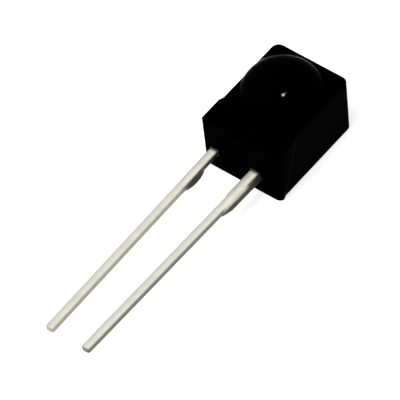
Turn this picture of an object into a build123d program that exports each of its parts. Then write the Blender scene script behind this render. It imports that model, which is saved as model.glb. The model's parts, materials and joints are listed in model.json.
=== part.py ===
from build123d import *
import math
import os

# A side-view PIN photodiode that lies on its back, in millimetres.
# X runs across the package from the anode lead to the cathode lead, Y runs up the package, away
# from the leads, and Z is the optical axis. The origin is on the back face, under the lens.

# Moulded package. Its sizes are those of the front face, and all sides lean in towards the back.
# On each side a short slope runs from the upper width out to the foot, lower down at the back.
package_height = 6.04
package_depth = 3.4
upper_width = 4.52
foot_step = 0.11
foot_height_front = 1.7
foot_height_back = 0.5
foot_slope_height = 0.3
draft_angle = 0.6
top_corner_radius = 0.3
bottom_corner_radius = 0.12
front_edge_radius = 0.02
back_edge_radius = 0.05

# Lens dome. The centre of its sphere lies below the front face.
lens_radius = 2.3
lens_centre_height = 3.54
lens_centre_sink = 0.6
lens_root_radius = 0.02

# Leads, stamped from one strip. Offsets and the pitch are measured at the bottom face of the
# package. Outside it each lead leans a little towards the other one.
lead_pitch = 2.54
lead_width = 0.5
lead_thickness = 0.4
lead_length = 13.4
lead_lean_angle = 0.7
lead_front_height = 1.5
lead_edge_radius = 0.13
lead_tip_radius = 0.15
anode_lead_offset = 1.7

# What the sheared dam bar left: a hump on the anode lead and a shoulder on the cathode lead.
# Distances run down the leads from the bottom face. Both slope from the back to the front.
hump_start = 1.2
hump_length = 1.45
hump_height = 0.12
shoulder_length = 2.35
shoulder_run_out = 0.6
shoulder_height = 0.14

# The cathode lead is a little wider on its inner side, from the body to its shoulder's end.
root_step = 0.05
root_length = 1.95
root_run_out = 0.15

# Silicon die, its adhesive film and the pad that carries it
chip_size = 3.0
chip_thickness = 0.28
attach_thickness = 0.03
attach_margin = 0.04
pad_margin = 0.1

# Bonding post at the inner end of the anode lead
post_gap = 0.3
post_length = 0.7
post_width = 0.95

# Gold bond wire, from a corner of the die to the post
contact_inset = 0.25
wire_diameter = 0.05
wire_loop_height = 0.3
wire_landing_height = 0.14
wire_bend_radius = 0.1
ball_diameter = 0.13
ball_height = 0.04
stitch_length = 0.16
stitch_width = 0.1
stitch_height = 0.03

bottom_face_y = -lens_centre_height
package_middle_y = bottom_face_y + package_height / 2
foot_width = upper_width + 2 * foot_step
lens_centre_z = package_depth - lens_centre_sink
lead_back_height = lead_front_height - lead_thickness
lead_lean = math.tan(math.radians(lead_lean_angle))
anode_lead_x = -anode_lead_offset
cathode_lead_x = anode_lead_x + lead_pitch
attach_size = chip_size + 2 * attach_margin
pad_size = attach_size + 2 * pad_margin
pad_bottom_y = -pad_size / 2
post_top_y = pad_bottom_y - post_gap
chip_back_z = lead_front_height + attach_thickness
chip_front_z = chip_back_z + chip_thickness
contact_place = -(chip_size / 2 - contact_inset)
stitch_x = anode_lead_x - lead_width / 2 + post_width / 2
stitch_y = post_top_y - post_length / 2


def on_level(shape, z):
    """Lift a shape that stands on the XY plane."""
    return Pos(0, 0, z) * shape


def rectangle_between(left, right, bottom, top):
    """A rectangle in the XY plane, given by its four sides."""
    middle = Pos((left + right) / 2, (bottom + top) / 2)
    return middle * Rectangle(right - left, top - bottom)


def tapered_block(width):
    """The package as a plain block of one width, drafted towards the back, with its edges rounded."""
    outline = Pos(0, package_middle_y) * Rectangle(width, package_height)
    outline = fillet(outline.vertices().group_by(Axis.Y)[-1], top_corner_radius)
    outline = fillet(outline.vertices().group_by(Axis.Y)[0], bottom_corner_radius)
    block = extrude(on_level(outline, package_depth), amount=-package_depth, taper=draft_angle)
    block = fillet(block.edges().group_by(Axis.Z)[-1], front_edge_radius)
    return fillet(block.edges().group_by(Axis.Z)[0], back_edge_radius)


def foot_section(z, foot_height):
    """A trapezoid at one level. The foot's slopes lie on its slanting sides, which run on past them."""
    upper_x = upper_width / 2 - (package_depth - z) * math.tan(math.radians(draft_angle))
    step_y = bottom_face_y + foot_height
    top_x = upper_x - foot_step
    low_x = upper_x + package_height * foot_step / foot_slope_height
    section = Polygon(
        (-top_x, step_y + foot_slope_height),
        (-low_x, step_y - package_height),
        (low_x, step_y - package_height),
        (top_x, step_y + foot_slope_height),
        align=None,
    )
    return on_level(section, z)


def foot_zone():
    """The space of the wider foot, which stands higher at the front than at the back."""
    back = foot_section(0, foot_height_back)
    front = foot_section(package_depth, foot_height_front)
    return loft([back, front], ruled=True)


def lens_profile():
    """Half of the dome's section in the XZ plane, with the hollow rounding at its root."""
    outer_radius = lens_radius + lens_root_radius
    root_x = math.sqrt(outer_radius**2 - (lens_centre_sink + lens_root_radius) ** 2)
    reach = lens_radius / outer_radius
    seam = (root_x * reach, lens_centre_z + (lens_centre_sink + lens_root_radius) * reach)
    crown = (0, lens_centre_z + lens_radius)
    base = Line((0, package_depth), (root_x, package_depth))
    hollow = TangentArc((root_x, package_depth), seam, tangent=(-1, 0))
    sphere = TangentArc(crown, seam, tangent=(1, 0))
    axis = Line(crown, (0, package_depth))
    return make_face(base + hollow + sphere + axis)


def lens_dome():
    """The lens on the front face, no wider than the package."""
    room = Pos(0, package_middle_y) * Rectangle(upper_width, package_height)
    above = extrude(on_level(room, package_depth), amount=lens_radius)
    return revolve(Plane.XZ * lens_profile(), axis=Axis.Z) & above


def package():
    """The whole moulding, before the leads and the die take their space in it."""
    foot = tapered_block(foot_width) & foot_zone()
    return tapered_block(upper_width) + foot + lens_dome()


def metal(outline):
    """Give an outline the thickness of the lead strip."""
    return extrude(on_level(outline, lead_back_height), amount=lead_thickness)


def tinned_strip(outline):
    """A lead outside the moulding, with the round edges that the tinning leaves."""
    strip = metal(outline)
    faces = strip.faces().sort_by(Axis.Z)
    edges = faces[0].edges() + faces[-1].edges()
    return fillet(edges.group_by(Axis.Y)[:-1], lead_edge_radius)


def along_lead(x, lean, distance):
    """A point on a line of a leaning lead that leaves the bottom face at x."""
    return (x + lean * distance, bottom_face_y - distance)


def lead_outline(x, lean):
    """The outline of a plain lead outside the moulding, down to its rounded tip."""
    left_x = x - lead_width / 2
    right_x = x + lead_width / 2
    strip = Polygon(
        along_lead(left_x, lean, 0),
        along_lead(left_x, lean, lead_length),
        along_lead(right_x, lean, lead_length),
        along_lead(right_x, lean, 0),
        align=None,
    )
    return fillet(strip.vertices().group_by(Axis.Y)[0], lead_tip_radius)


def sheared_rest(plan, edge_x, height):
    """What is left of the dam bar within a plan: it stands out at the back of a lead's edge only."""
    root_x = edge_x - lead_edge_radius
    slope_top = lead_front_height - lead_edge_radius
    section = Polygon(
        (root_x, lead_back_height),
        (edge_x + height, lead_back_height),
        (edge_x, slope_top),
        (root_x, slope_top),
        align=None,
    )
    return extrude(Plane.XZ * section, amount=lead_length) & metal(plan)


def hump_plan(edge_x, lean):
    """The plan of the hump: a shallow arc beside the lead, and its root in the lead."""
    hump_end = hump_start + hump_length
    start = along_lead(edge_x, lean, hump_start)
    middle = along_lead(edge_x + hump_height, lean, (hump_start + hump_end) / 2)
    end = along_lead(edge_x, lean, hump_end)
    root_x = edge_x - lead_edge_radius
    root_end = along_lead(root_x, lean, hump_end)
    root_start = along_lead(root_x, lean, hump_start)
    return make_face(ThreePointArc(start, middle, end) + Polyline(end, root_end, root_start, start))


def shoulder_plan(edge_x, lean):
    """The plan of the shoulder, from the die pad to where it runs out into the lead."""
    root_x = edge_x - lead_edge_radius
    run_out_end = shoulder_length + shoulder_run_out
    return Polygon(
        (root_x, pad_bottom_y),
        along_lead(root_x, lean, 0),
        along_lead(root_x, lean, run_out_end),
        along_lead(edge_x, lean, run_out_end),
        along_lead(edge_x + shoulder_height, lean, shoulder_length),
        along_lead(edge_x + shoulder_height, lean, 0),
        (edge_x + shoulder_height, pad_bottom_y),
        align=None,
    )


def root_plan(edge_x, lean):
    """The plan of the wider root of the cathode lead, outside the moulding."""
    return Polygon(
        along_lead(edge_x + lead_edge_radius, lean, 0),
        along_lead(edge_x - root_step, lean, 0),
        along_lead(edge_x - root_step, lean, root_length),
        along_lead(edge_x, lean, root_length + root_run_out),
        along_lead(edge_x + lead_edge_radius, lean, root_length + root_run_out),
        align=None,
    )


def anode_lead():
    """The lead with the hump, which ends inside in a post beside the die pad."""
    outer_edge_x = anode_lead_x - lead_width / 2
    inner_edge_x = anode_lead_x + lead_width / 2
    hump_middle = hump_start + hump_length / 2
    hump_edge_x, _ = along_lead(inner_edge_x, lead_lean, hump_middle)
    outside = tinned_strip(lead_outline(anode_lead_x, lead_lean))
    hump = sheared_rest(hump_plan(inner_edge_x, lead_lean), hump_edge_x, hump_height)
    inside = rectangle_between(outer_edge_x, inner_edge_x, bottom_face_y, post_top_y)
    post = rectangle_between(
        outer_edge_x, outer_edge_x + post_width, post_top_y - post_length, post_top_y
    )
    return outside + hump + metal(inside + post)


def cathode_lead():
    """The lead with the shoulder, which widens inside into the pad under the die."""
    inner_edge_x = cathode_lead_x - lead_width / 2
    outer_edge_x = cathode_lead_x + lead_width / 2
    outside = tinned_strip(
        lead_outline(cathode_lead_x, -lead_lean) + root_plan(inner_edge_x, -lead_lean)
    )
    shoulder = sheared_rest(shoulder_plan(outer_edge_x, -lead_lean), outer_edge_x, shoulder_height)
    inside = rectangle_between(inner_edge_x - root_step, outer_edge_x, bottom_face_y, pad_bottom_y)
    pad = Rectangle(pad_size, pad_size)
    return outside + shoulder + metal(inside + pad)


def square_plate(size, back_z, thickness):
    """A square plate centred on the optical axis."""
    return extrude(on_level(Rectangle(size, size), back_z), amount=thickness)


def bond_wire():
    """Ball on the die, looped wire, and stitch on the anode post."""
    ball_place = Pos(contact_place, contact_place, chip_front_z)
    ball = ball_place * extrude(Circle(ball_diameter / 2), amount=ball_height)
    stitch_place = Pos(stitch_x, stitch_y, lead_front_height)
    stitch = stitch_place * extrude(Rectangle(stitch_width, stitch_length), amount=stitch_height)
    path = FilletPolyline(
        (contact_place, contact_place, chip_front_z + ball_height),
        (contact_place, contact_place, chip_front_z + wire_loop_height),
        (stitch_x, stitch_y, lead_front_height + wire_landing_height + wire_bend_radius),
        (stitch_x, stitch_y, lead_front_height + stitch_height),
        radius=wire_bend_radius,
    )
    section = Plane(origin=path @ 0, z_dir=path % 0) * Circle(wire_diameter / 2)
    return ball + sweep(section, path=path) + stitch


def all_parts():
    """Every node by name. The epoxy is cast around the others, so it is cut by them."""
    parts = {
        "anode_lead": anode_lead(),
        "cathode_lead": cathode_lead(),
        "die_attach": square_plate(attach_size, lead_front_height, attach_thickness),
        "photodiode_chip": square_plate(chip_size, chip_back_z, chip_thickness),
        "bond_wire": bond_wire(),
    }
    epoxy = package()
    for piece in parts.values():
        epoxy -= piece
    return {"epoxy_body": epoxy} | parts


os.makedirs("parts", exist_ok=True)
for name, solid in all_parts().items():
    export_step(solid, f"parts/{name}.step")
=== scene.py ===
import json
import math

import bmesh
import bpy
from mathutils import Matrix, Vector


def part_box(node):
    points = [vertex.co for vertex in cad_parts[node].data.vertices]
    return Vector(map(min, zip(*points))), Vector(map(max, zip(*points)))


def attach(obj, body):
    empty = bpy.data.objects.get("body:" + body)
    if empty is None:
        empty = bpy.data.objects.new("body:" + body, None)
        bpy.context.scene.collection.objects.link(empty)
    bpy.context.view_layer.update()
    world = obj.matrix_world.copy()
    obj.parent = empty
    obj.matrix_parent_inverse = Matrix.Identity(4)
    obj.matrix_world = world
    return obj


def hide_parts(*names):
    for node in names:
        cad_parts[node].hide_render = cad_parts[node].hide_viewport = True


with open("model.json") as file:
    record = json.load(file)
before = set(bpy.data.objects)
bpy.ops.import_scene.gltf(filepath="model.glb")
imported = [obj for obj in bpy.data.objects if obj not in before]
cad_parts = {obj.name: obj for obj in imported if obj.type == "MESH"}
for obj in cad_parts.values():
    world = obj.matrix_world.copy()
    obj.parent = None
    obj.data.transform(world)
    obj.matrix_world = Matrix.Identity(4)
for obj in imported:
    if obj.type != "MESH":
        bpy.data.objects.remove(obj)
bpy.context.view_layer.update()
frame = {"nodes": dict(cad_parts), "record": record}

# Lengths are in metres, angles in degrees.
MM = 0.001

# Camera. The pivot is a point of the part, and PIVOT_PIXEL is its place in the photograph.
CAMERA_AZIMUTH = 42.53
CAMERA_ELEVATION = 50.58
CAMERA_ROLL = -6.46
CAMERA_DISTANCE = 322 * MM
PIVOT = Vector((0, 0, 1.7 * MM))
PIVOT_PIXEL = (284.8, 115.3)
PIXELS_PER_MM = 20.26
IMAGE_SIZE = 400
SENSOR_WIDTH_MM = 36.0
CLIP_START = 0.01
CLIP_END = 10

# The part, from the frame. The leads are measured where they leave the bottom face of the body.
mounts = {mount["name"]: mount for mount in frame["record"]["mounts"]}
LEADS_X, BOTTOM_FACE_Y, _ = mounts["solder_leads"]["pos_m"]
LEAD_PITCH = mounts["solder_leads"]["dims"]["spacing_x_mm"] * MM
ANODE_X = LEADS_X - LEAD_PITCH / 2
CATHODE_X = LEADS_X + LEAD_PITCH / 2
body_low, body_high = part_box("epoxy_body")
BODY_TOP = body_high[2]
LEAD_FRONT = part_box("cathode_lead")[1][2]

# Sizes of the part that the frame doesn't give
LEAD_WIDTH = 0.5 * MM
LEAD_LEAN_ANGLE = 0.7
LEAD_LEAN = math.tan(math.radians(LEAD_LEAN_ANGLE))
FOOT_STEP = 0.11 * MM
LENS_RADIUS = 2.3 * MM
LENS_MIDDLE = Vector((0, 0, BODY_TOP - LENS_RADIUS))

# Upright corners of the moulding: where their sides would meet, their radius in the frame and the
# wider one that the photograph shows
TOP_HALF_WIDTH = body_high[0] - FOOT_STEP
TOP_LEFT = (-TOP_HALF_WIDTH, body_high[1])
TOP_RIGHT = (TOP_HALF_WIDTH, body_high[1])
BOTTOM_RIGHT = (body_high[0], body_low[1])
TOP_RADIUS = 0.3 * MM
BOTTOM_RADIUS = 0.12 * MM
WIDER_TOP_RADIUS = 0.42 * MM
WIDER_BOTTOM_RADIUS = 0.38 * MM
CORNER_STEPS = 12
CLOSE = 0.0001 * MM

# Shading of the moulding: edges sharper than this angle stay sharp, and large faces decide how
# the roundings between them catch the light
SHARP_ANGLE = 15
LARGE_FACE_WEIGHT = 100

# Epoxy. The low refractive index lets the dome's rim alone mirror the white around it. The
# roughness varies between two values.
EPOXY_IOR = 1.014
EPOXY_BLACK = (0.0002, 0.0002, 0.0003)
EPOXY_LIGHTER_BLACK = (0.0005, 0.0005, 0.0006)
EPOXY_ROUGHNESS = (0.05, 0.1)
PEEL_HEIGHT = 0.0008 * MM

# Colours of the tin across the face of a lead, from its left edge at 0 to its right edge at 1.
# Both sets darken towards the left edge: painted shade.
TIN_WITH_PAINTED_EDGE_SHADE = (
    (0.0, (0.47, 0.47, 0.44)),
    (0.14, (0.52, 0.52, 0.48)),
    (0.30, (0.72, 0.71, 0.635)),
    (0.80, (0.88, 0.87, 0.745)),
)
# Near the body: brighter, painted light against the body's shade and a painted reflection, with the
# same painted shade towards the left edge
TIN_NEAR_BODY_PAINTED_LIGHT = (
    (0.0, (0.40, 0.40, 0.365)),
    (0.14, (0.50, 0.50, 0.45)),
    (0.45, (0.82, 0.81, 0.69)),
    (0.70, (0.98, 0.96, 0.80)),
)
MOTTLED_TIN = (0.47, 0.46, 0.43)
# Sides of the leads, darker than the face: painted shade, deepest on the cathode
ANODE_SIDE_PAINTED_SHADE = (0.45, 0.445, 0.365)
CATHODE_SIDE_PAINTED_SHADE = (0.18, 0.178, 0.142)
# Painted shade on the sides near the body, and deeper painted shade at the root
SIDE_NEAR_BODY_PAINTED_SHADE = (0.055, 0.045, 0.026)
SIDE_AT_ROOT_PAINTED_SHADE = (0.012, 0.011, 0.008)
CUT_BROWN = (0.034, 0.023, 0.009)
# Painted shade across a lead where it leaves the body
ROOT_PAINTED_SHADE = (0.02, 0.02, 0.018)

# The tin's other measures. Its roughness varies with the grain between two values.
MOTTLING = 0.18
# How fully the painted shade at the root covers the tin
ROOT_PAINTED_SHADE_STRENGTH = 0.97
PLAIN_METALLIC = 0.25
NEAR_BODY_METALLIC = 0.06
TIN_ROUGHNESS = (0.38, 0.52)
GRAIN_HEIGHT = 0.0015 * MM
DRAWN_HEIGHT = 0.002 * MM

# Stretches of a lead, measured down from the body. Where one fades out, the pair gives where the
# fading starts and ends.
# Near the body: painted light on the face and painted shade on the sides
NEAR_BODY_FADE = (2.4 * MM, 3.2 * MM)
# Painted shade on the sides at the root
SIDE_AT_ROOT_SHADE_FADE = (0.9 * MM, 1.3 * MM)
# Painted shade across the root
ROOT_PAINTED_SHADE_FADE = (0.04 * MM, 0.2 * MM)
ANODE_CUT = (1.6 * MM, 2.8 * MM)
CATHODE_CUT = (1.8 * MM, 3.0 * MM)
CUT_SOFTNESS = 0.25 * MM
# Along its upper edge the cathode's slope keeps the face's colour here: painted light in place of the
# sides' painted shade, for the lit face of the real, thicker shoulder
PAINTED_LIT_SLOPE = (0.8 * MM, 2.9 * MM)
PAINTED_LIT_SLOPE_SOFTNESS = 0.3 * MM

# On the sloping rest of the dam bar, how deep under the front face its painted lit edge gives way
# to the sides' painted shade, and how soft the cut's border is along the edge of the strip
PAINTED_LIT_EDGE_DEPTH = (0.09 * MM, 0.21 * MM)
CUT_BORDER = 0.02 * MM

# How far up a spot's normal points: up to the first value it is a side, which gets painted shade,
# from the second a face
SIDE_TO_FACE = (0.5, 0.95)

# Surroundings. The floor lies just under the part, so that no two faces share a place. The glow of
# the floor and the world's white are for the camera and for reflections.
FLOOR_Z = -0.005 * MM
FLOOR_HALF_WIDTH = 1.0
FLOOR_COLOUR = (0.9, 0.9, 0.9)
FLOOR_GLOW = 0.65
WORLD_LIGHT = 0.35
WORLD_WHITE = 1.0

# Lamps for the highlight on the dome
LENS_LAMP_DISTANCE = 30 * MM
LENS_LAMP_COLOUR = (0.95, 0.92, 1.0)
LENS_LAMP_CONE_RADIUS = 1.1 * LENS_RADIUS
LENS_LAMP_BLEND = 0.3


class Tree:
    """The nodes of a material or of the world, and short ways to add the kinds used here."""

    def __init__(self, owner):
        owner.use_nodes = True
        self.nodes = owner.node_tree.nodes
        self.links = owner.node_tree.links
        self.nodes.clear()

    def feed(self, socket, value):
        """Give a socket another node's output, a colour or a plain number."""
        if isinstance(value, bpy.types.NodeSocket):
            self.links.new(value, socket)
        elif socket.type == "RGBA":
            socket.default_value = (*value, 1.0)
        else:
            socket.default_value = value

    def noise(self, place, scale, detail=2):
        """A noise texture. Its scale is how many of its features fit in a metre."""
        node = self.nodes.new("ShaderNodeTexNoise")
        self.feed(node.inputs["Vector"], place)
        self.feed(node.inputs["Scale"], scale)
        self.feed(node.inputs["Detail"], detail)
        return node.outputs["Fac"]

    def scaled(self, place, factors):
        """Coordinates scaled by a different amount along each axis."""
        node = self.nodes.new("ShaderNodeMapping")
        self.feed(node.inputs["Vector"], place)
        self.feed(node.inputs["Scale"], factors)
        return node.outputs["Vector"]

    def measured_along(self, place, axis, start):
        """How far a point lies along an axis, beyond a start."""
        node = self.nodes.new("ShaderNodeVectorMath")
        node.operation = "DOT_PRODUCT"
        self.feed(node.inputs[0], place)
        self.feed(node.inputs[1], axis)
        return self.calculated("SUBTRACT", node.outputs["Value"], start)

    def calculated(self, operation, first, second):
        """Two values put together by a math node."""
        node = self.nodes.new("ShaderNodeMath")
        node.operation = operation
        self.feed(node.inputs[0], first)
        self.feed(node.inputs[1], second)
        return node.outputs[0]

    def remap(self, value, given, wanted):
        """A value mapped from a given range to a wanted one, clamped."""
        node = self.nodes.new("ShaderNodeMapRange")
        self.feed(node.inputs["Value"], value)
        for end, number in zip(("From Min", "From Max", "To Min", "To Max"), (*given, *wanted)):
            self.feed(node.inputs[end], number)
        return node.outputs["Result"]

    def within(self, value, stretch, softness):
        """One inside a stretch and zero outside it, with soft ends."""
        start, end = stretch
        opened = self.remap(value, (start, start + softness), (0, 1))
        closed = self.remap(value, (end - softness, end), (1, 0))
        return self.calculated("MULTIPLY", opened, closed)

    def mix_values(self, factor, first, second):
        """A blend of two numbers. The node's sockets go by number, as several share a name."""
        node = self.nodes.new("ShaderNodeMix")
        self.feed(node.inputs[0], factor)
        self.feed(node.inputs[2], first)
        self.feed(node.inputs[3], second)
        return node.outputs[0]

    def mix_colours(self, factor, first, second):
        """A blend of two colours, with the sockets by number too."""
        node = self.nodes.new("ShaderNodeMix")
        node.data_type = "RGBA"
        self.feed(node.inputs[0], factor)
        self.feed(node.inputs[6], first)
        self.feed(node.inputs[7], second)
        return node.outputs[2]

    def ramp(self, value, stops):
        """Colours at given values, blended evenly in between."""
        node = self.nodes.new("ShaderNodeValToRGB")
        self.feed(node.inputs["Fac"], value)
        elements = node.color_ramp.elements
        while len(elements) < len(stops):
            elements.new(1.0)
        for element, (position, colour) in zip(elements, stops):
            element.position = position
            element.color = (*colour, 1.0)
        return node.outputs["Color"]

    def bump(self, height, distance, normal=None):
        """A bumpy normal, laid over another one where it is given."""
        node = self.nodes.new("ShaderNodeBump")
        self.feed(node.inputs["Height"], height)
        self.feed(node.inputs["Distance"], distance)
        if normal is not None:
            self.feed(node.inputs["Normal"], normal)
        return node.outputs["Normal"]

    def seen(self):
        """One for the camera and for reflections, zero for the light that falls on things."""
        rays = self.nodes.new("ShaderNodeLightPath").outputs
        return self.calculated("MAXIMUM", rays["Is Camera Ray"], rays["Is Glossy Ray"])


def principled(name):
    """A new material with one Principled shader: the material, its tree and the shader's inputs."""
    material = bpy.data.materials.new(name)
    tree = Tree(material)
    shader = tree.nodes.new("ShaderNodeBsdfPrincipled")
    output = tree.nodes.new("ShaderNodeOutputMaterial")
    tree.feed(output.inputs["Surface"], shader.outputs[0])
    return material, tree, shader.inputs


def black_epoxy():
    """Moulded black epoxy: glossy, with a faint orange peel and fine rub marks."""
    material, tree, surface = principled("black_epoxy")
    place = tree.nodes.new("ShaderNodeTexCoord").outputs["Object"]
    cloud = tree.noise(place, scale=900)
    rub = tree.noise(tree.scaled(place, (1, 6, 1)), scale=3000, detail=4)
    peel = tree.noise(place, scale=2200, detail=1)
    tree.feed(surface["IOR"], EPOXY_IOR)
    tree.feed(surface["Base Color"], tree.mix_colours(cloud, EPOXY_BLACK, EPOXY_LIGHTER_BLACK))
    tree.feed(surface["Roughness"], tree.remap(rub, given=(0.4, 0.75), wanted=EPOXY_ROUGHNESS))
    tree.feed(surface["Normal"], tree.bump(peel, PEEL_HEIGHT))
    return material


def face_with_painted_light_and_shade(tree, place, across, near_body):
    """Mottled tin on a lead's face: painted shade towards its left edge, painted light near the body.
    """
    width = tree.remap(across, (-LEAD_WIDTH / 2, LEAD_WIDTH / 2), (0, 1))
    face = tree.mix_colours(near_body, tree.ramp(width, TIN_WITH_PAINTED_EDGE_SHADE), tree.ramp(width, TIN_NEAR_BODY_PAINTED_LIGHT))
    cloud = tree.noise(place, scale=2200)
    mottled = tree.remap(cloud, given=(0.35, 0.65), wanted=(MOTTLING, 0))
    return tree.mix_colours(mottled, face, MOTTLED_TIN)


def sides_in_painted_shade(tree, down, near_body, far_side_painted_shade):
    """The sides of a lead, in painted shade that darkens towards the body."""
    colour = tree.mix_colours(near_body, far_side_painted_shade, SIDE_NEAR_BODY_PAINTED_SHADE)
    at_root = tree.remap(down, SIDE_AT_ROOT_SHADE_FADE, (1, 0))
    return tree.mix_colours(at_root, colour, SIDE_AT_ROOT_PAINTED_SHADE)


def side_shade_share(tree, normal, place, down, painted_lit_slope):
    """One on a lead's sides, which get painted shade; zero on its face and on a slope's painted lit
    edge.
    """
    facing = tree.nodes.new("ShaderNodeSeparateXYZ")
    tree.feed(facing.inputs[0], normal)
    side = tree.remap(facing.outputs["Z"], SIDE_TO_FACE, (1, 0))
    if painted_lit_slope is None:
        return side
    depth = tree.measured_along(place, (0, 0, -1), start=-LEAD_FRONT)
    below_painted_lit_edge = tree.remap(depth, PAINTED_LIT_EDGE_DEPTH, (0, 1))
    painted_lit = tree.within(down, painted_lit_slope, PAINTED_LIT_SLOPE_SOFTNESS)
    return tree.calculated("MULTIPLY", side, tree.mix_values(painted_lit, 1.0, below_painted_lit_edge))


def cut_share(tree, across, down, cut):
    """One where the dam bar was cut, beyond the right edge of the strip, and zero elsewhere."""
    border = LEAD_WIDTH / 2
    beyond = tree.remap(across, (border - CUT_BORDER, border + CUT_BORDER), (0, 1))
    return tree.calculated("MULTIPLY", tree.within(down, cut, CUT_SOFTNESS), beyond)


def tinned_metal(name, lead_x, lean, cut, painted_lit_slope, side_painted_shade):
    """Dull tin plating on a stamped lead, greyer on its sides as painted shade and brown where the
    dam bar was cut.

    lead_x is the lead's middle where it leaves the body, and lean is how far the middle moves to
    the right for each unit further down. cut is the stretch with the brown cut. On the stretch given
    for the slope, or nowhere for None, the sloping rest of the dam bar keeps the face's colour along
    its upper edge: painted light in place of the sides' painted shade. Near the body the face gets
    painted light, and the sides and the root get painted shade.
    """
    material, tree, surface = principled(name)
    coordinates = tree.nodes.new("ShaderNodeTexCoord").outputs
    place = coordinates["Object"]
    across = tree.measured_along(place, (1, lean, 0), start=lead_x + lean * BOTTOM_FACE_Y)
    down = tree.measured_along(place, (0, -1, 0), start=-BOTTOM_FACE_Y)
    # Nearness to the body, for painted light on the face and painted shade on the sides
    near_body = tree.remap(down, NEAR_BODY_FADE, (1, 0))

    # Painted shade and light on the face, and painted shade on the sides
    face = face_with_painted_light_and_shade(tree, place, across, near_body)
    edge = sides_in_painted_shade(tree, down, near_body, side_painted_shade)
    side = side_shade_share(tree, coordinates["Normal"], place, down, painted_lit_slope)
    brown = tree.calculated("MULTIPLY", cut_share(tree, across, down, cut), side)
    # Painted shade across the root
    painted_root_shade = tree.remap(down, ROOT_PAINTED_SHADE_FADE, (ROOT_PAINTED_SHADE_STRENGTH, 0))
    colour = tree.mix_colours(side, face, edge)
    colour = tree.mix_colours(brown, colour, CUT_BROWN)
    colour = tree.mix_colours(painted_root_shade, colour, ROOT_PAINTED_SHADE)

    grain = tree.noise(place, scale=14000, detail=3)
    drawn = tree.noise(tree.scaled(place, (1, 0.05, 1)), scale=9000, detail=3)
    metallic = tree.remap(near_body, (0, 1), (PLAIN_METALLIC, NEAR_BODY_METALLIC))
    tree.feed(surface["Base Color"], colour)
    tree.feed(surface["Metallic"], metallic)
    tree.feed(surface["Roughness"], tree.remap(grain, given=(0.3, 0.7), wanted=TIN_ROUGHNESS))
    tree.feed(surface["Normal"], tree.bump(grain, GRAIN_HEIGHT, tree.bump(drawn, DRAWN_HEIGHT)))
    return material


def sealed_piece(name, dark, light, metallic, roughness, scale):
    """A finish with slight variation, for a piece sealed in the epoxy. roughness is a range."""
    material, tree, surface = principled(name)
    place = tree.nodes.new("ShaderNodeTexCoord").outputs["Object"]
    cloud = tree.noise(place, scale)
    tree.feed(surface["Base Color"], tree.mix_colours(cloud, dark, light))
    tree.feed(surface["Metallic"], metallic)
    tree.feed(surface["Roughness"], tree.remap(cloud, given=(0.3, 0.7), wanted=roughness))
    return material


def add_object(name, data):
    """A new object in the scene."""
    thing = bpy.data.objects.new(name, data)
    bpy.context.scene.collection.objects.link(thing)
    return thing


class Corner:
    """One upright corner of the moulding: its place, its radius in the frame and the one it gets."""

    def __init__(self, place, radius, wider_radius):
        self.side = [math.copysign(1, value) for value in place]
        self.place = [abs(value) for value in place]
        self.radius = radius
        self.wider_radius = wider_radius

    def outward(self, vertex, radius):
        """How far a vertex lies out from the axis of a rounding, along X and along Y."""
        return [vertex.co[i] * self.side[i] - self.place[i] + radius for i in (0, 1)]

    def crosses(self, face):
        """Whether a face may reach into the corner."""
        places = [self.outward(vertex, self.wider_radius) for vertex in face.verts]
        return all(max(place[i] for place in places) > 0 for i in (0, 1))

    def encloses(self, face):
        """Whether a face lies in the corner."""
        return all(min(self.outward(vertex, self.wider_radius)) > -CLOSE for vertex in face.verts)

    def cut(self, shape, angle, chosen):
        """Divide the chosen faces by an upright plane through the wider rounding's axis."""
        axis = [self.side[i] * (self.place[i] - self.wider_radius) for i in (0, 1)]
        across = (self.side[0] * math.sin(angle), -self.side[1] * math.cos(angle), 0)
        faces = [face for face in shape.faces if chosen(face)]

        # Each edge and vertex once, in the order of the faces
        edges = dict.fromkeys(edge for face in faces for edge in face.edges)
        vertices = dict.fromkeys(vertex for face in faces for vertex in face.verts)
        bmesh.ops.bisect_plane(
            shape,
            geom=[*vertices, *edges, *faces],
            dist=CLOSE,
            plane_co=(*axis, 0),
            plane_no=across,
        )

    def divide(self, shape):
        """Part the corner from the sides, and cut it into even steps."""
        self.cut(shape, 0, self.crosses)
        self.cut(shape, math.pi / 2, self.crosses)
        for step in range(1, CORNER_STEPS):
            self.cut(shape, math.pi / 2 * step / CORNER_STEPS, self.encloses)

    def widen(self, shape):
        """Draw the corner in to its wider rounding. The sides and their draft stay where they are."""
        for vertex in shape.verts:
            near = self.outward(vertex, self.radius)
            far = self.outward(vertex, self.wider_radius)
            if min(far) < -CLOSE:
                continue
            # The draft and the rounded edges set the vertex in from the corner's full outline
            if min(near) > 0:
                set_in = self.radius - math.hypot(*near)
            else:
                set_in = self.wider_radius - max(far)
            scale = (self.wider_radius - set_in) / math.hypot(*far)
            for i in (0, 1):
                vertex.co[i] = self.side[i] * (self.place[i] - self.wider_radius + far[i] * scale)


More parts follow.
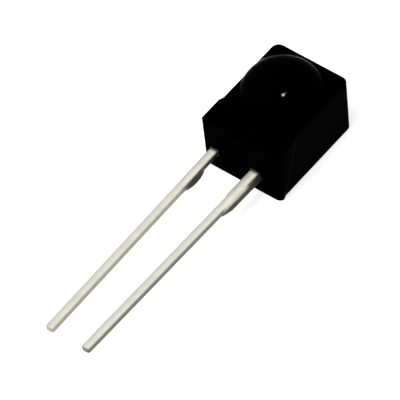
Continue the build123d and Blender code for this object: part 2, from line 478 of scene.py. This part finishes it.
def moulded_body(material):
    """The moulding with its corners as round as the photograph shows them."""
    shape = bmesh.new()
    shape.from_mesh(frame["nodes"]["epoxy_body"].data)
    bmesh.ops.remove_doubles(shape, verts=shape.verts, dist=CLOSE)
    for corner in (
        Corner(TOP_LEFT, TOP_RADIUS, WIDER_TOP_RADIUS),
        Corner(TOP_RIGHT, TOP_RADIUS, WIDER_TOP_RADIUS),
        Corner(BOTTOM_RIGHT, BOTTOM_RADIUS, WIDER_BOTTOM_RADIUS),
    ):
        corner.divide(shape)
        corner.widen(shape)
    mesh = bpy.data.meshes.new("moulded_body")
    shape.to_mesh(mesh)
    shape.free()

    # The normals that came with the frame's mesh belong to its old corners
    if "custom_normal" in mesh.attributes:
        mesh.attributes.remove(mesh.attributes["custom_normal"])
    mesh.shade_smooth()
    mesh.set_sharp_from_angle(angle=math.radians(SHARP_ANGLE))
    mesh.materials.append(material)
    body = add_object("moulded_body", mesh)
    shading = body.modifiers.new("even_shading", "WEIGHTED_NORMAL")
    shading.weight = LARGE_FACE_WEIGHT
    shading.keep_sharp = True
    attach(body, "root")
    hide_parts("epoxy_body")


def dress(node, material):
    """Give a CAD node its material."""
    mesh = frame["nodes"][node].data
    mesh.materials.clear()
    mesh.materials.append(material)


def dress_part():
    """Every piece gets its finish."""
    moulded_body(black_epoxy())
    dress("anode_lead", tinned_metal(
        "tin_anode",
        lead_x=ANODE_X,
        lean=LEAD_LEAN,
        cut=ANODE_CUT,
        painted_lit_slope=None,
        side_painted_shade=ANODE_SIDE_PAINTED_SHADE,
    ))
    dress("cathode_lead", tinned_metal(
        "tin_cathode",
        lead_x=CATHODE_X,
        lean=-LEAD_LEAN,
        cut=CATHODE_CUT,
        painted_lit_slope=PAINTED_LIT_SLOPE,
        side_painted_shade=CATHODE_SIDE_PAINTED_SHADE,
    ))
    dress("photodiode_chip", sealed_piece(
        "silicon",
        dark=(0.02, 0.02, 0.05),
        light=(0.05, 0.04, 0.09),
        metallic=0.0,
        roughness=(0.08, 0.14),
        scale=1500,
    ))
    dress("die_attach", sealed_piece(
        "silver_epoxy",
        dark=(0.35, 0.35, 0.34),
        light=(0.6, 0.59, 0.57),
        metallic=0.6,
        roughness=(0.5, 0.7),
        scale=6000,
    ))
    dress("bond_wire", sealed_piece(
        "gold",
        dark=(0.83, 0.56, 0.2),
        light=(0.95, 0.7, 0.32),
        metallic=1.0,
        roughness=(0.2, 0.3),
        scale=8000,
    ))


def white_floor():
    """A white studio floor, which keeps the soft shadow of the part."""
    material = bpy.data.materials.new("white_floor")
    tree = Tree(material)
    diffuse = tree.nodes.new("ShaderNodeBsdfDiffuse")
    tree.feed(diffuse.inputs["Color"], FLOOR_COLOUR)
    glow = tree.nodes.new("ShaderNodeEmission")
    tree.feed(glow.inputs["Strength"], tree.calculated("MULTIPLY", tree.seen(), FLOOR_GLOW))
    both = tree.nodes.new("ShaderNodeAddShader")
    tree.feed(both.inputs[0], diffuse.outputs[0])
    tree.feed(both.inputs[1], glow.outputs[0])
    output = tree.nodes.new("ShaderNodeOutputMaterial")
    tree.feed(output.inputs["Surface"], both.outputs[0])
    return material


def build_stage():
    """The floor, which the back of the package lies on."""
    low, high = -FLOOR_HALF_WIDTH, FLOOR_HALF_WIDTH
    corners = [(low, low, FLOOR_Z), (high, low, FLOOR_Z), (high, high, FLOOR_Z), (low, high, FLOOR_Z)]
    mesh = bpy.data.meshes.new("floor")
    mesh.from_pydata(corners, [], [(0, 1, 2, 3)])
    mesh.materials.append(white_floor())
    floor = add_object("floor", mesh)


def build_world():
    """Soft white surroundings: white to the camera and in reflections, dimmer as a light."""
    world = bpy.data.worlds.new("studio")
    bpy.context.scene.world = world
    tree = Tree(world)
    background = tree.nodes.new("ShaderNodeBackground")
    tree.feed(background.inputs["Color"], (1, 1, 1))
    strength = tree.remap(tree.seen(), (0, 1), (WORLD_LIGHT, WORLD_WHITE))
    tree.feed(background.inputs["Strength"], strength)
    output = tree.nodes.new("ShaderNodeOutputWorld")
    tree.feed(output.inputs["Surface"], background.outputs[0])


def direction(azimuth, elevation):
    """The unit vector from the part to something at this azimuth and elevation."""
    turn = math.radians(azimuth)
    rise = math.radians(elevation)
    return Vector((
        math.sin(turn) * math.cos(rise),
        -math.cos(turn) * math.cos(rise),
        math.sin(rise),
    ))


def aim(lamp, target):
    """Turn a lamp so that it shines at a point."""
    lamp.rotation_mode = "QUATERNION"
    lamp.rotation_quaternion = (target - lamp.location).to_track_quat("-Z", "Y")


def area_lamp(name, azimuth, elevation, distance, size, watts):
    """A round soft lamp that shines at the part. No reflection shows it."""
    data = bpy.data.lights.new(name, "AREA")
    data.shape = "DISK"
    data.size = size
    data.energy = watts
    lamp = add_object(name, data)
    lamp.location = PIVOT + direction(azimuth, elevation) * distance
    aim(lamp, PIVOT)
    lamp.visible_glossy = False


def lens_lamp(name, azimuth, elevation, radius, watts):
    """A narrow lamp that only shows as a highlight. Its cone covers the dome alone."""
    data = bpy.data.lights.new(name, "SPOT")
    data.shadow_soft_size = radius
    data.energy = watts
    data.color = LENS_LAMP_COLOUR
    data.spot_size = 2 * math.atan(LENS_LAMP_CONE_RADIUS / LENS_LAMP_DISTANCE)
    data.spot_blend = LENS_LAMP_BLEND
    lamp = add_object(name, data)
    lamp.location = LENS_MIDDLE + direction(azimuth, elevation) * LENS_LAMP_DISTANCE
    aim(lamp, LENS_MIDDLE)
    lamp.visible_diffuse = False


def build_lamps():
    """A soft lamp from the upper left, and two small ones for the dome's highlight and its tail."""
    area_lamp("key", azimuth=-25, elevation=62, distance=0.35, size=0.25, watts=0.88)
    lens_lamp(
        "highlight",
        azimuth=CAMERA_AZIMUTH + 1,
        elevation=CAMERA_ELEVATION + 13.5,
        radius=2.1 * MM,
        watts=1.5,
    )
    lens_lamp(
        "highlight_tail",
        azimuth=CAMERA_AZIMUTH + 15,
        elevation=CAMERA_ELEVATION + 17.5,
        radius=1.2 * MM,
        watts=0.07,
    )


def build_camera():
    """A long lens, turned and moved aside so that the part lands as it does in the photograph."""
    back = direction(CAMERA_AZIMUTH, CAMERA_ELEVATION)
    azimuth = math.radians(CAMERA_AZIMUTH)
    level = Vector((math.cos(azimuth), math.sin(azimuth), 0))
    upright = back.cross(level)
    roll = math.radians(CAMERA_ROLL)
    right = level * math.cos(roll) + upright * math.sin(roll)
    up = upright * math.cos(roll) - level * math.sin(roll)
    middle = IMAGE_SIZE / 2
    offset_right = (PIVOT_PIXEL[0] - middle) / PIXELS_PER_MM * MM
    offset_up = (middle - PIVOT_PIXEL[1]) / PIXELS_PER_MM * MM
    place = PIVOT + back * CAMERA_DISTANCE - right * offset_right - up * offset_up
    data = bpy.data.cameras.new("camera")
    data.sensor_width = SENSOR_WIDTH_MM
    data.lens = SENSOR_WIDTH_MM * PIXELS_PER_MM / MM * CAMERA_DISTANCE / IMAGE_SIZE
    data.clip_start = CLIP_START
    data.clip_end = CLIP_END
    camera = add_object("camera", data)
    camera.matrix_world = Matrix.Translation(place) @ Matrix((right, up, back)).transposed().to_4x4()
    bpy.context.scene.camera = camera


dress_part()
build_stage()
build_world()
build_lamps()
build_camera()
bpy.context.scene.view_settings.view_transform = "Standard"
